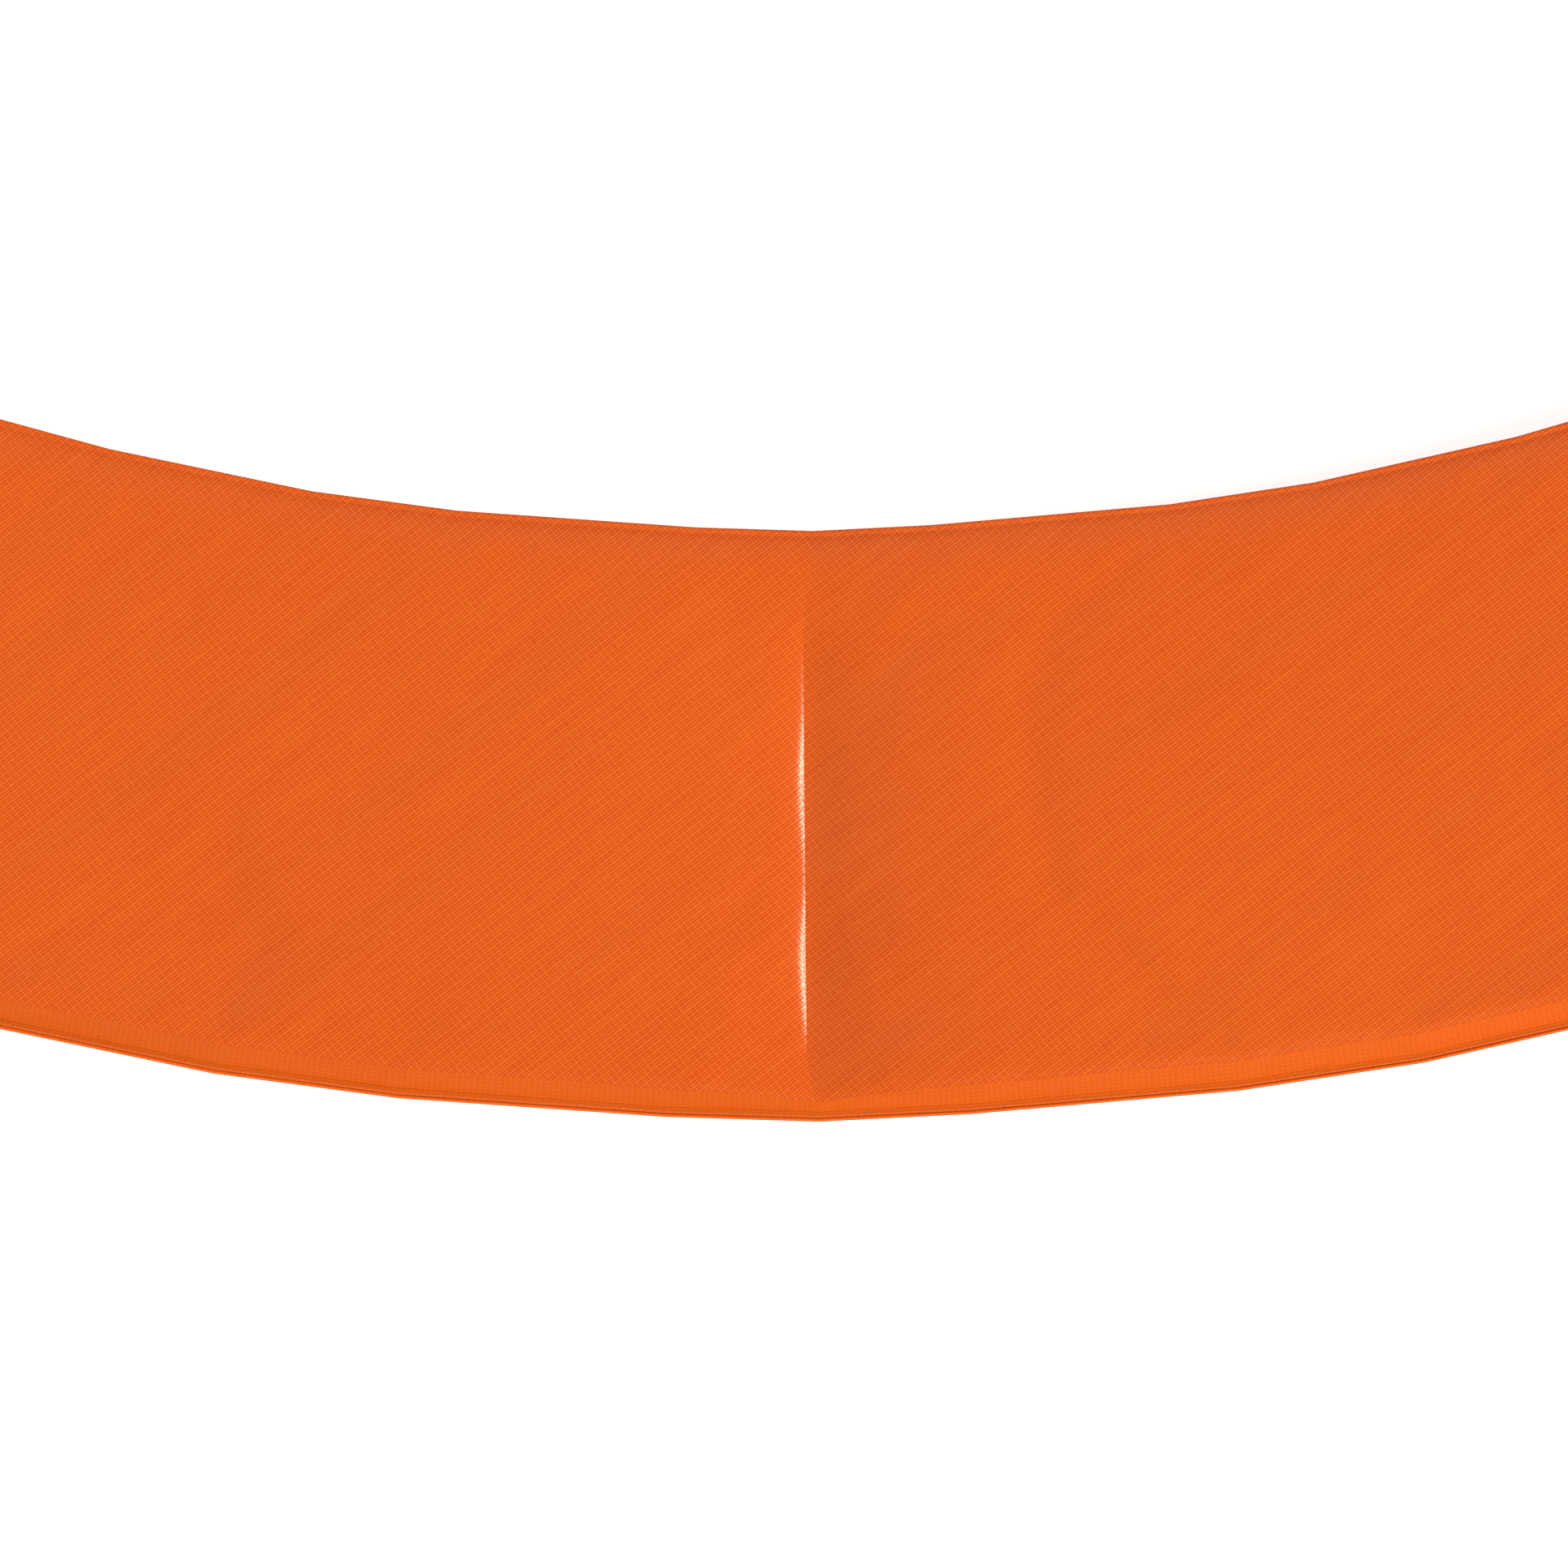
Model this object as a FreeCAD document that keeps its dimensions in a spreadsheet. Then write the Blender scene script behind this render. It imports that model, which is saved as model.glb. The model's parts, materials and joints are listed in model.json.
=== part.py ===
"""Safety pad for a round trampoline: the foam-filled ring that covers the springs.

The ring lies flat in the XY plane with its centre at the origin and its underside at
z = 0. Eight equal pad sections meet at radial seams. Each section is drawn about the
+Y axis and then turned into place about Z, so section and seam numbers run
anticlockwise, starting at the front (-Y). Lengths are in millimetres.

The outline of a section is faceted. From the middle of the section to the seam, each
facet leans a little more (tilt_1 to tilt_6), and every other edge of the pad is an
offset of that inner edge, so the corners are mitred and the band has one width.
"""

import FreeCAD, Part
import math
import os
import Sketcher

V = FreeCAD.Vector
SECTIONS = 8
FRONT_SECTIONS = (1, 2, 7, 8)
FOLD_SEAMS = (3, 7)

DIMENSIONS = (
    # the inner edge of one section, from its middle to its seam
    ("half_angle", 22.5),
    ("apothem", 1258),
    ("facet_0", 35.5),
    ("facet_1", 60),
    ("facet_2", 75),
    ("facet_3", 94),
    ("facet_4", 66.5),
    ("facet_5", 109),
    ("tilt_1", 3.2),
    ("tilt_2", 6.7),
    ("tilt_3", 10.25),
    ("tilt_4", 14.4),
    ("tilt_5", 18),
    ("tilt_6", 20.2),
    # the cross-section of the pad, from the inner edge outwards and from the floor up
    ("pad_width", 268.7),
    ("pad_top", 20),
    ("hem_height", 4),
    ("hem_width", 24),
    ("flange", 4),
    ("flap_width", 20),
    ("rim_run", 9.6),
    ("cover_top", 1),
    ("cover_inner", 1),
    ("cover_rim", 1.2),
    ("cover_flank", 1.4),
    ("base_sheet", 0.8),
    # the pinched seam between two sections
    ("seam_gap", 0.15),
    ("seam_foot", 6),
    ("flank_run", 16),
    ("web_thickness", 1),
    # elastic straps and their hooks, stowed in the recess under the pad
    ("strap_root", 60),
    ("strap_width", 25),
    ("strap_length", 110),
    ("strap_half", 0.6),
    ("strap_level", 2),
    ("loop_bore", 1.06),
    ("loop_radius", 1.66),
    ("bar_radius", 1),
    ("patch_length", 32),
    ("patch_step", 1.1),
    ("patch_thickness", 1.2),
    ("hook_half_width", 16),
    ("hook_arm", 3),
    ("hook_frame", 9),
    ("hook_slot", 5),
    ("hook_neck", 5),
    ("hook_reach", 21),
    ("hook_outer", 10),
    ("hook_inner", 6),
    ("hook_thickness", 2),
)

doc = FreeCAD.newDocument("trampoline_pad")
sheet = doc.addObject("Spreadsheet::Sheet", "Dims")
for row, (alias, value) in enumerate(DIMENSIONS, start=1):
    sheet.set(f"A{row}", alias)
    sheet.set(f"B{row}", str(value))
    sheet.setAlias(f"B{row}", alias)
doc.recompute()

# Heights above the floor and offsets from the inner edge, as formulas of the sheet.
HEM_TOP = "Dims.hem_height"
SHEET_TOP = "(Dims.hem_height + Dims.base_sheet)"
CAVITY_TOP = "(Dims.pad_top - Dims.cover_top)"
RIM_MIDDLE = "(Dims.apothem + Dims.pad_width)"
STRAP_ROOT = f"({RIM_MIDDLE} - Dims.strap_root)"
BAR_LINE = f"({STRAP_ROOT} - Dims.strap_length)"
HOOK_CENTRE = f"({BAR_LINE} - Dims.hook_reach)"
# Radius of the inner edge's corner at a seam, where the last facet meets the seam.
LEANS = " + ".join(f"Dims.facet_{k} * sin((Dims.tilt_6 - Dims.tilt_{k}) * 1deg)" for k in range(1, 6))
SEAM_RADIUS = (
    "((Dims.apothem * cos(Dims.tilt_6 * 1deg) + Dims.facet_0 * sin(Dims.tilt_6 * 1deg)"
    f" + {LEANS}) / cos((Dims.half_angle - Dims.tilt_6) * 1deg))"
)
# Share of the seam foot's slope that the web's sides lean over its own thickness.
WEB_TOP_HALF = "(Dims.seam_foot + Dims.flank_run * Dims.web_thickness / (Dims.pad_top - Dims.hem_height))"


def rise(level):
    """Share of the way from the hem to the pad's top, at a height."""
    return f"(({level} - Dims.hem_height) / (Dims.pad_top - Dims.hem_height))"


def rim_line(level):
    """Offset of the outer wall's outside at a height."""
    return f"(Dims.pad_width - Dims.flange - Dims.rim_run * {rise(level)})"


def flank_line(level):
    """Distance of the outside of a section's end from its seam at a height."""
    return f"(Dims.seam_foot + Dims.flank_run * {rise(level)})"


def cavity_rim(level):
    """Offset of the outer wall's inside at a height."""
    return f"({rim_line(level)} - Dims.cover_rim)"


def cavity_flank(level):
    """Distance of the inside of a section's end from its seam at a height."""
    return f"({flank_line(level)} + Dims.cover_flank)"


def number(formula):
    """Value of a formula of the sheet, which starts a sketch close to its solution."""
    value = sheet.evalExpression(formula)
    return float(getattr(value, "Value", value))


def origin_plane(body, role):
    return next(item for item in body.Origin.OriginFeatures if item.Role == role)


def new_body(label):
    body = doc.addObject("PartDesign::Body", label)
    body.Label = label
    return body


def new_sketch(body, name, role, level="0"):
    """Sketch on an origin plane of its body, moved out along the plane's normal."""
    sketch = body.newObject("Sketcher::SketchObject", f"{body.Name}_{name}")
    sketch.AttachmentSupport = [(origin_plane(body, role), "")]
    sketch.MapMode = "FlatFace"
    sketch.setExpression("AttachmentOffset.Base.z", f"({level}) * 1mm")
    return sketch


def bind(sketch, kind, references, formula, unit="mm"):
    """Add a dimension to a sketch and tie it to the sheet."""
    value = number(formula)
    size = FreeCAD.Units.Quantity(f"{value} deg") if unit == "deg" else value
    index = sketch.addConstraint(Sketcher.Constraint(kind, *references, size))
    sketch.setExpression(f"Constraints[{index}]", f"({formula}) * 1{unit}")


def join_ends(sketch, pairs):
    for first, first_end, second, second_end in pairs:
        sketch.addConstraint(Sketcher.Constraint("Coincident", first, first_end, second, second_end))


def facet_length(k, offset):
    """Length of facet k of an edge at an offset from the inner edge: mitred corners add to it."""
    turn_out = f"tan((Dims.tilt_{k + 1} - {tilt(k)}) / 2 * 1deg)"
    if k == 0:
        return f"Dims.facet_0 + ({offset}) * {turn_out}"
    turn_in = f"tan(({tilt(k)} - {tilt(k - 1)}) / 2 * 1deg)"
    return f"Dims.facet_{k} + ({offset}) * ({turn_in} + {turn_out})"


def tilt(k):
    return f"Dims.tilt_{k}" if k else "0"


def edge_points(offset, gap):
    """Corners of one half of an edge at an offset, as far as a gap before the seam."""
    points = [V(0, number("Dims.apothem") + offset)]
    for k in range(6):
        lean = math.radians(number(tilt(k)))
        length = number(facet_length(k, f"{offset}"))
        points.append(points[-1] + V(math.cos(lean), -math.sin(lean)) * length)
    lean = math.radians(number(tilt(6)))
    seam = math.radians(number("Dims.half_angle"))
    along = V(math.cos(lean), -math.sin(lean))
    across = V(-math.cos(seam), math.sin(seam))
    length = (gap - points[-1].dot(across)) / along.dot(across)
    points.append(points[-1] + along * length)
    return points


def half_outline(body, name, level, inner, outer, gap):
    """Sketch of the right half of a band between two offsets, cut a gap before the seam."""
    sketch = new_sketch(body, name, "XY_Plane", level)
    edges = (inner, outer)
    chains = []
    for offset in edges:
        points = edge_points(number(offset), number(gap))
        chains.append([sketch.addGeometry(Part.LineSegment(a, b)) for a, b in zip(points, points[1:])])
    inner_chain, outer_chain = chains
    corners = [sketch.getPoint(chain[end], side) for chain, end, side in
               ((inner_chain, 6, 2), (outer_chain, 6, 2), (inner_chain, 0, 1), (outer_chain, 0, 1))]
    end_line = sketch.addGeometry(Part.LineSegment(corners[0], corners[1]))
    middle = sketch.addGeometry(Part.LineSegment(corners[2], corners[3]))
    for chain in chains:
        join_ends(sketch, [(chain[k], 2, chain[k + 1], 1) for k in range(6)])
    join_ends(sketch, [(inner_chain[6], 2, end_line, 1), (outer_chain[6], 2, end_line, 2),
                       (inner_chain[0], 1, middle, 1), (outer_chain[0], 1, middle, 2)])
    sketch.addConstraint(Sketcher.Constraint("PointOnObject", middle, 1, -2))
    sketch.addConstraint(Sketcher.Constraint("Vertical", middle))
    for chain, offset in zip(chains, edges):
        sketch.addConstraint(Sketcher.Constraint("Horizontal", chain[0]))
        bind(sketch, "DistanceY", (-1, 1, chain[0], 1), f"Dims.apothem + {offset}")
        for k in range(6):
            bind(sketch, "Distance", (chain[k],), facet_length(k, offset))
            bind(sketch, "Angle", (chain[k + 1],), f"-Dims.tilt_{k + 1}", "deg")
    bind(sketch, "Angle", (end_line,), "90 - Dims.half_angle", "deg")
    bind(sketch, "Distance", (-1, 1, end_line), gap)
    return sketch


def polygon(sketch, corners):
    """Closed outline whose corners are pairs of formulas."""
    points = [V(number(x), number(y)) for x, y in corners]
    lines = [sketch.addGeometry(Part.LineSegment(a, b)) for a, b in zip(points, points[1:] + points[:1])]
    join_ends(sketch, [(a, 2, b, 1) for a, b in zip(lines, lines[1:] + lines[:1])])
    for line, (x, y) in zip(lines, corners):
        bind(sketch, "DistanceX", (-1, 1, line, 1), x)
        bind(sketch, "DistanceY", (-1, 1, line, 1), y)


def rectangle(sketch, left, right, low, high):
    polygon(sketch, ((left, low), (right, low), (right, high), (left, high)))


def circle(sketch, x, y, radius):
    ring = sketch.addGeometry(Part.Circle(V(number(x), number(y)), V(0, 0, 1), number(radius)))
    bind(sketch, "DistanceX", (-1, 1, ring, 3), x)
    bind(sketch, "DistanceY", (-1, 1, ring, 3), y)
    bind(sketch, "Radius", (ring,), radius)


def loft(body, kind, name, low_sketch, high_sketch):
    feature = body.newObject(f"PartDesign::{kind}Loft", f"{body.Name}_{name}")
    feature.Profile = low_sketch
    feature.Sections = [high_sketch]
    feature.Ruled = True
    return feature


def pad(body, name, sketch, length, symmetric=False, backwards=False):
    feature = body.newObject("PartDesign::Pad", f"{body.Name}_{name}")
    feature.Profile = sketch
    feature.setExpression("Length", f"({length}) * 1mm")
    feature.Reversed = backwards
    if symmetric:
        feature.SideType = "Symmetric"
    return feature


def pocket(body, name, sketch):
    """Cut a sketch through the whole body, both ways."""
    feature = body.newObject("PartDesign::Pocket", f"{body.Name}_{name}")
    feature.Profile = sketch
    feature.Type = "ThroughAll"
    feature.SideType = "Symmetric"
    return feature


def mirror(body, features):
    """Complete a body whose right half is drawn, across its middle plane."""
    whole = body.newObject("PartDesign::Mirrored", f"{body.Name}_whole")
    whole.Originals = features
    whole.MirrorPlane = (origin_plane(body, "YZ_Plane"), [""])
    body.Tip = whole


def top_cover(label):
    """Woven cover: top sheet, sloping outer wall, pinched ends and turned-under inner flap."""
    body = new_body(label)
    foot = half_outline(body, "foot", HEM_TOP, "0", rim_line(HEM_TOP), flank_line(HEM_TOP))
    top = half_outline(body, "top", "Dims.pad_top", "0", rim_line("Dims.pad_top"), flank_line("Dims.pad_top"))
    shell = loft(body, "Additive", "shell", foot, top)
    foot_inside = half_outline(body, "foot_inside", HEM_TOP, "Dims.cover_inner", cavity_rim(HEM_TOP),
                               cavity_flank(HEM_TOP))
    top_inside = half_outline(body, "top_inside", CAVITY_TOP, "Dims.cover_inner", cavity_rim(CAVITY_TOP),
                              cavity_flank(CAVITY_TOP))
    cavity = loft(body, "Subtractive", "cavity", foot_inside, top_inside)
    flap_sketch = half_outline(body, "flap", "0", "0", "Dims.flap_width", "Dims.seam_gap")
    flap = pad(body, "turned_under", flap_sketch, HEM_TOP)
    mirror(body, [shell, cavity, flap])
    return body


def foam_insert(label):
    """Foam slab that fills the cover above the base sheet."""
    body = new_body(label)
    low = half_outline(body, "low", SHEET_TOP, "Dims.cover_inner", cavity_rim(SHEET_TOP), cavity_flank(SHEET_TOP))
    high = half_outline(body, "high", CAVITY_TOP, "Dims.cover_inner", cavity_rim(CAVITY_TOP),
                        cavity_flank(CAVITY_TOP))
    mirror(body, [loft(body, "Additive", "slab", low, high)])
    return body


def bottom_cover(label):
    """Thin base sheet under the foam, sewn down between the walls."""
    body = new_body(label)
    outline = half_outline(body, "outline", HEM_TOP, "Dims.cover_inner", cavity_rim(SHEET_TOP),
                           cavity_flank(SHEET_TOP))
    mirror(body, [pad(body, "sheet", outline, "Dims.base_sheet")])
    return body


def outer_hem(label):
    """Folded hem with its flange, which carries the outer wall's foot."""
    body = new_body(label)
    outline = half_outline(body, "outline", "0", "Dims.pad_width - Dims.hem_width", "Dims.pad_width",
                           "Dims.seam_gap")
    mirror(body, [pad(body, "strip", outline, "Dims.hem_height")])
    return body


def seam_web(label):
    """Stitched strip at the bottom of a pinched seam, between the feet of two sections."""
    body = new_body(label)
    sketch = new_sketch(body, "section", "XZ_Plane", f"-{SEAM_RADIUS}")
    top = f"{HEM_TOP} + Dims.web_thickness"
    polygon(sketch, (("-Dims.seam_foot", HEM_TOP), ("Dims.seam_foot", HEM_TOP),
                     (WEB_TOP_HALF, top), (f"-{WEB_TOP_HALF}", top)))
    pad(body, "strip", sketch, "Dims.pad_width - Dims.flange", backwards=True)
    return body


def fold_web(label, side):
    """One side of the web at a seam where the ring folds in half."""
    body = new_body(label)
    sketch = new_sketch(body, "section", "XZ_Plane", f"-{SEAM_RADIUS}")
    top = f"{HEM_TOP} + Dims.web_thickness"
    polygon(sketch, ((f"{side} * Dims.seam_gap", HEM_TOP), (f"{side} * Dims.seam_foot", HEM_TOP),
                     (f"{side} * {WEB_TOP_HALF}", top), (f"{side} * Dims.seam_gap", top)))
    pad(body, "strip", sketch, "Dims.pad_width - Dims.flange", backwards=True)
    return body


def elastic_strap(label):
    """Webbing strap with a rounded stitched end and a loop round the hook's bar."""
    body = new_body(label)
    sketch = new_sketch(body, "side", "YZ_Plane")
    reach = f"sqrt(Dims.loop_radius ^ 2 - Dims.strap_half ^ 2)"
    loop_end = f"{BAR_LINE} + {reach}"
    upper = "Dims.strap_level + Dims.strap_half"
    lower = "Dims.strap_level - Dims.strap_half"
    root = V(number(STRAP_ROOT), number("Dims.strap_level"))
    bar = V(number(BAR_LINE), number("Dims.strap_level"))
    corner_high = V(number(loop_end), number(upper))
    corner_low = V(number(loop_end), number(lower))
    half_turn = math.pi / 2
    opening = math.asin(number("Dims.strap_half / Dims.loop_radius"))
    root_circle = Part.Circle(root, V(0, 0, 1), number("Dims.strap_half"))
    loop_circle = Part.Circle(bar, V(0, 0, 1), number("Dims.loop_radius"))
    root_arc = sketch.addGeometry(Part.ArcOfCircle(root_circle, -half_turn, half_turn))
    loop_arc = sketch.addGeometry(Part.ArcOfCircle(loop_circle, opening, 2 * math.pi - opening))
    top_line = sketch.addGeometry(Part.LineSegment(root + V(0, number("Dims.strap_half")), corner_high))
    low_line = sketch.addGeometry(Part.LineSegment(root - V(0, number("Dims.strap_half")), corner_low))
    join_ends(sketch, [(root_arc, 2, top_line, 1), (root_arc, 1, low_line, 1),
                       (loop_arc, 1, top_line, 2), (loop_arc, 2, low_line, 2)])
    sketch.addConstraint(Sketcher.Constraint("Horizontal", top_line))
    sketch.addConstraint(Sketcher.Constraint("Horizontal", low_line))
    bind(sketch, "DistanceX", (-1, 1, root_arc, 3), STRAP_ROOT)
    bind(sketch, "DistanceY", (-1, 1, root_arc, 3), "Dims.strap_level")
    bind(sketch, "DistanceX", (-1, 1, root_arc, 1), STRAP_ROOT)
    bind(sketch, "DistanceX", (-1, 1, root_arc, 2), STRAP_ROOT)
    bind(sketch, "Radius", (root_arc,), "Dims.strap_half")
    bind(sketch, "DistanceX", (-1, 1, loop_arc, 3), BAR_LINE)
    bind(sketch, "DistanceY", (-1, 1, loop_arc, 3), "Dims.strap_level")
    bind(sketch, "Radius", (loop_arc,), "Dims.loop_radius")
    circle(sketch, BAR_LINE, "Dims.strap_level", "Dims.loop_bore")
    pad(body, "webbing", sketch, "Dims.strap_width", symmetric=True)
    return body


def strap_hook(label):
    """Flat hook: a bar for the strap's loop, a slotted frame and an open hook on a neck."""
    body = new_body(label)
    level = "Dims.strap_level"
    frame_sketch = new_sketch(body, "frame_outline", "XY_Plane", level)
    rectangle(frame_sketch, "-Dims.hook_half_width", "Dims.hook_half_width",
              f"{BAR_LINE} - Dims.hook_frame", BAR_LINE)
    pad(body, "frame", frame_sketch, "Dims.hook_thickness", symmetric=True)
    neck_sketch = new_sketch(body, "neck_outline", "XY_Plane", level)
    rectangle(neck_sketch, "-Dims.hook_neck / 2", "Dims.hook_neck / 2",
              f"{HOOK_CENTRE} + Dims.hook_inner", f"{BAR_LINE} - Dims.hook_frame")
    pad(body, "neck", neck_sketch, "Dims.hook_thickness", symmetric=True)
    ring_sketch = new_sketch(body, "ring_outline", "XY_Plane", level)
    circle(ring_sketch, "0", HOOK_CENTRE, "Dims.hook_outer")
    pad(body, "ring", ring_sketch, "Dims.hook_thickness", symmetric=True)
    eye_sketch = new_sketch(body, "eye_outline", "XY_Plane", level)
    circle(eye_sketch, "0", HOOK_CENTRE, "Dims.hook_inner")
    pocket(body, "eye", eye_sketch)
    mouth_sketch = new_sketch(body, "mouth_outline", "XY_Plane", level)
    rectangle(mouth_sketch, "Dims.hook_neck / 2", "Dims.hook_outer + 1",
              HOOK_CENTRE, f"{HOOK_CENTRE} + Dims.hook_outer")
    pocket(body, "mouth", mouth_sketch)
    slot_sketch = new_sketch(body, "slot_outline", "XY_Plane", level)
    rectangle(slot_sketch, "-Dims.hook_half_width + Dims.hook_arm", "Dims.hook_half_width - Dims.hook_arm",
              f"{BAR_LINE} - Dims.hook_slot", f"{BAR_LINE} + 1")
    pocket(body, "slot", slot_sketch)
    bar_sketch = new_sketch(body, "bar_outline", "YZ_Plane")
    circle(bar_sketch, BAR_LINE, level, "Dims.bar_radius")
    pad(body, "bar", bar_sketch, "Dims.hook_half_width * 2", symmetric=True)
    return body


def strap_patch(label):
    """Sewn-down end of a strap, under the base sheet."""
    body = new_body(label)
    sketch = new_sketch(body, "outline", "XY_Plane", f"{HEM_TOP} - Dims.patch_thickness")
    rectangle(sketch, "-Dims.strap_width / 2", "Dims.strap_width / 2",
              f"{STRAP_ROOT} + Dims.patch_step", f"{STRAP_ROOT} + Dims.patch_step + Dims.patch_length")
    pad(body, "webbing", sketch, "Dims.patch_thickness")
    return body


def turn(piece, degrees):
    """Turn a piece from the +Y axis to its place round the ring."""
    piece.Placement = FreeCAD.Placement(V(0, 0, 0), FreeCAD.Rotation(V(0, 0, 1), degrees))
    return piece


def group(label, pieces):
    """Small like pieces of one half of the ring, kept as separate solids in one node."""
    compound = doc.addObject("Part::Compound", label)
    compound.Label = label
    compound.Links = pieces
    return compound


STEP = 360 / SECTIONS
nodes = []
patches = {True: [], False: []}
for section in range(1, SECTIONS + 1):
    # the front seam stands at -Y, half a turn from the axis that the pieces are drawn about
    middle_angle = 180 + STEP * (section - 0.5)
    seam_angle = 180 + STEP * (section - 1)
    for build in (top_cover, foam_insert, bottom_cover, outer_hem, elastic_strap, strap_hook):
        nodes.append(turn(build(f"{build.__name__}_{section}"), middle_angle))
    patches[section in FRONT_SECTIONS].append(turn(strap_patch(f"patch_{section}"), middle_angle))
    if section not in FOLD_SEAMS:
        nodes.append(turn(seam_web(f"seam_web_{section}"), seam_angle))

# At the fold seams each half of the ring keeps its own side of the web.
for half, sides in (("front", (1, -1)), ("back", (-1, 1))):
    strips = [turn(fold_web(f"web_{half}_{seam}", side), 180 + STEP * (seam - 1))
              for seam, side in zip(FOLD_SEAMS, sides)]
    nodes.append(group(f"fold_web_{half}", strips))
    nodes.append(group(f"strap_patches_{half}", patches[half == "front"]))

doc.recompute()

for item in doc.Objects:
    if "Invalid" in item.State or "Error" in item.State:
        raise RuntimeError(f"{item.Label}: {item.State}")
for node in nodes:
    if node.Shape.isNull() or not node.Shape.isValid():
        raise RuntimeError(f"{node.Label} has no valid shape")

os.makedirs("parts", exist_ok=True)
for node in nodes:
    node.Shape.exportStep(f"parts/{node.Label}.step")
    print(f"{node.Label}: {len(node.Shape.Solids)} solid(s), {node.Shape.Volume / 1000:.2f} cm3")
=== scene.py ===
"""Blender scene of the safety pad of a round trampoline.

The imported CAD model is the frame, and the pad's corners, widths and heights are read from
its nodes. Lengths are in millimetres until a mesh is made. Every edge of a section is an
offset of its inner edge. t is the distance from a seam's plane, above zero on the seam's
anticlockwise side. Pieces are worked out for section 1 and turned into place about Z.
"""

import json
import math

import bpy
import numpy as np
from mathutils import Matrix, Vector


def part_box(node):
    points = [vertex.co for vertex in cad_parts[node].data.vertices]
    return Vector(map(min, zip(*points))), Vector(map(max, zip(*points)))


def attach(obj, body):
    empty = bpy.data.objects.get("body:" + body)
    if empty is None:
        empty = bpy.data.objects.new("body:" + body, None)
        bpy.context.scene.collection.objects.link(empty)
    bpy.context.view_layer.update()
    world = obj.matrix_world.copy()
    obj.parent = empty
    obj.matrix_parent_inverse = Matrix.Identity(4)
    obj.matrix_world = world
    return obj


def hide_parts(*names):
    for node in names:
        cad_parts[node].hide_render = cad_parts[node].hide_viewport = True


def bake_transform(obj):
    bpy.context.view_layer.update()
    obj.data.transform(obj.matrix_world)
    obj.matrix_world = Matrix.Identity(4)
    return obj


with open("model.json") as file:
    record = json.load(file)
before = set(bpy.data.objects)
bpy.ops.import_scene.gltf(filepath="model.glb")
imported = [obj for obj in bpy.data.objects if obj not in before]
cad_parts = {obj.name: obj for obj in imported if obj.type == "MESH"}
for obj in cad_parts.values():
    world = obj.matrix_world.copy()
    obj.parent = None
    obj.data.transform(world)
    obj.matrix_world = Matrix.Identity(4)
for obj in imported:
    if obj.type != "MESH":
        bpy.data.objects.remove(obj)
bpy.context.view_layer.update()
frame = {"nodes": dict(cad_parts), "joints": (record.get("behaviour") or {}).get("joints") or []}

MM = 0.001
SECTIONS = 8
STEP = 2 * math.pi / SECTIONS
FOLD_SEAMS = (3, 7)
FRONT_SECTIONS = (1, 2, 7, 8)


# ---------------------------------------------------------------- the frame's measures

def node_points(name):
    return np.array([vertex.co[:] for vertex in frame["nodes"][name].data.vertices]) / MM


def direction(angle):
    return np.array((math.cos(angle), math.sin(angle)))


def seam_angle(seam):
    return -math.pi / 2 + STEP * (seam - 1)


def read_inner_edge():
    """Corners of section 1's inner edge, anticlockwise."""
    points = node_points("top_cover_1")
    low = points[points[:, 2] < 0.01][:, :2]
    radius = np.linalg.norm(low, axis=1)
    inner = np.unique(low[radius < radius.min() + SHORTEST_FLAP / 2].round(1), axis=0)
    return inner[np.argsort(np.arctan2(inner[:, 1], inner[:, 0]))]


def reach(name, low=-1.0, high=1000.0):
    """Furthest distance of a node's points from the ring's centre, along section 1's middle."""
    points = node_points(name)
    chosen = points[(points[:, 2] > low) & (points[:, 2] < high)]
    return (chosen[:, :2] @ MIDDLE).max()


SHORTEST_FLAP = 20
MIDDLE = direction(seam_angle(1) + STEP / 2)
CORNERS = read_inner_edge()
FACETS = len(CORNERS) - 1
SIDES = CORNERS[1:] - CORNERS[:-1]
LENGTHS = np.linalg.norm(SIDES, axis=1)
ALONG = SIDES / LENGTHS[:, None]
OUTWARD = np.column_stack((ALONG[:, 1], -ALONG[:, 0]))
TANGENTS = (direction(seam_angle(1) + math.pi / 2), direction(seam_angle(2) + math.pi / 2))

APOTHEM = (CORNERS @ MIDDLE).max()
WIDTH = reach("outer_hem_1") - APOTHEM
FOOT = reach("top_cover_1") - APOTHEM
FLAP = reach("top_cover_1", high=0.01) - APOTHEM
HEM_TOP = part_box("outer_hem_1")[1].z / MM
SHEET_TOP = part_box("bottom_cover_1")[1].z / MM
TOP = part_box("top_cover_1")[1].z / MM
RUN = FOOT - (reach("top_cover_1", low=TOP - 0.01) - APOTHEM)
RISE = TOP - HEM_TOP

# Part of each fold seam that bends when the ring folds, as distances from its plane.
BEND_START = -6.5
BEND_END = 2.0


# ---------------------------------------------------------------- shape of the surface

def ease(x, start, end):
    share = min(max((x - start) / (end - start), 0.0), 1.0)
    return share * share * (3 - 2 * share)


def crease(offset):
    """Distance of the valley's crease from the seam's plane: it wanders as it is sewn."""
    return -2.0 - 3.2 * ease(offset, 15, 52) + 4.0 * ease(offset, 240, 264)


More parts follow.
